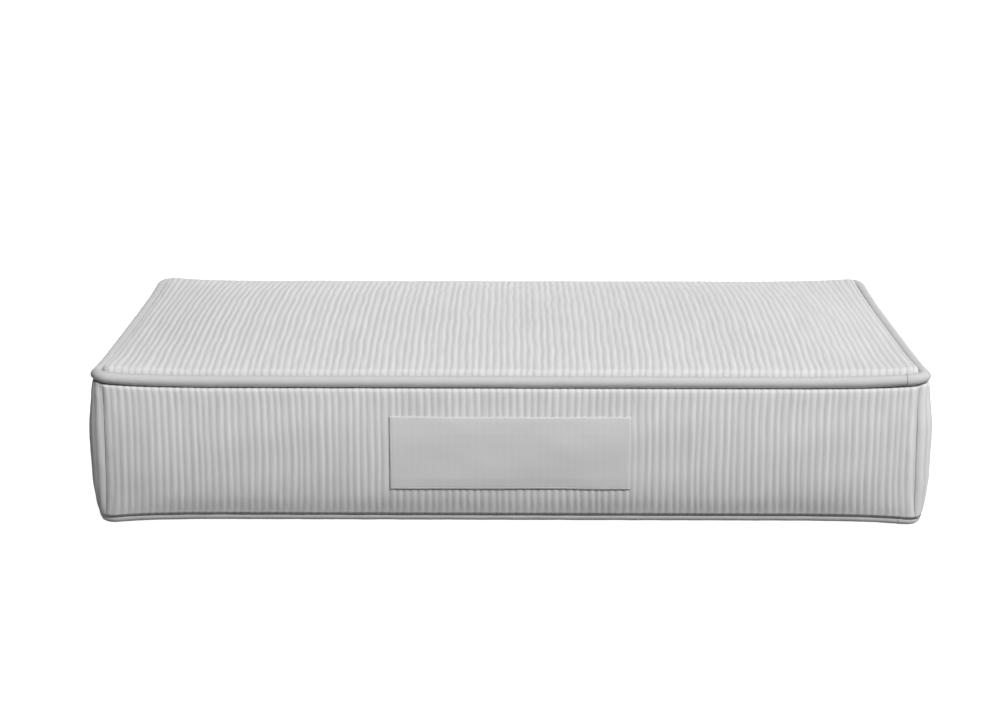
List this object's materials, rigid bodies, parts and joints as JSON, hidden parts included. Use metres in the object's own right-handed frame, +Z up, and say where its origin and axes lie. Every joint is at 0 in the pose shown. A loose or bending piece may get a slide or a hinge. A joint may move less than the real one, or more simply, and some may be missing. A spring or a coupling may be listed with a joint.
{
  "type": "memory foam mattress",
  "caption": "Small boxy foam mattress in a ribbed, piped cover, with a crowned top, bulging sides, a blank label and a back zip.",
  "frame": {"origin": "bottom centre of the bounding box, on the plane the mattress rests on", "axes": "+X along the length, +Y from the front long side to the back one with the zip, +Z up"},
  "size_m": [1.2236, 0.5799, 0.2561],
  "materials": {
    "ribbed_cover": "wide ribbed pile, soft matt",
    "piping": "smooth woven strip, matt",
    "cord": "loose cotton cord",
    "label": "smooth satin weave, blank",
    "zip_tape": "woven tape",
    "zip_coil": "moulded coil",
    "zip_metal": "nickel plated",
    "end_tab": "smooth woven tab",
    "liner": "fine knit",
    "memory_foam": "fine open-cell foam",
    "transition_foam": "open-cell foam",
    "support_foam": "coarse open-cell foam"
  },
  "bodies": {
    "mattress": {"border_back_lower": "ribbed_cover", "border_back_upper": "ribbed_cover", "border_front": "ribbed_cover", "border_left": "ribbed_cover", "border_right": "ribbed_cover", "bottom_panel": "ribbed_cover", "bottom_piping_cord": "cord", "bottom_piping_sleeve": "piping", "inner_cover": "liner", "label_patch": "label", "memory_foam_layer": "memory_foam", "support_foam_core": "support_foam", "top_panel": "ribbed_cover", "top_piping_cord": "cord", "top_piping_sleeve": "piping", "transition_foam_layer": "transition_foam", "zip_coil_lower": "zip_coil", "zip_coil_upper": "zip_coil", "zip_end_stop": "zip_metal", "zip_end_tab_left": "end_tab", "zip_end_tab_right": "end_tab", "zip_tape_lower": "zip_tape", "zip_tape_upper": "zip_tape", "zip_top_stop_lower": "zip_metal", "zip_top_stop_upper": "zip_metal"},
    "slider": {"zip_slider": "zip_metal"},
    "pull": {"zip_pull": "zip_metal"}
  },
  "joints": [
    {"name": "zip_slide", "type": "slide", "parent": "mattress", "child": "slider", "axis": [-1, 0, 0], "range_m": [0, 0.868]},
    {"name": "zip_pull_swing", "type": "hinge", "parent": "slider", "child": "pull", "pos_m": [0.436, 0.2895, 0.116], "axis": [0, 0, -1], "range_deg": [0, 175]}
  ]
}
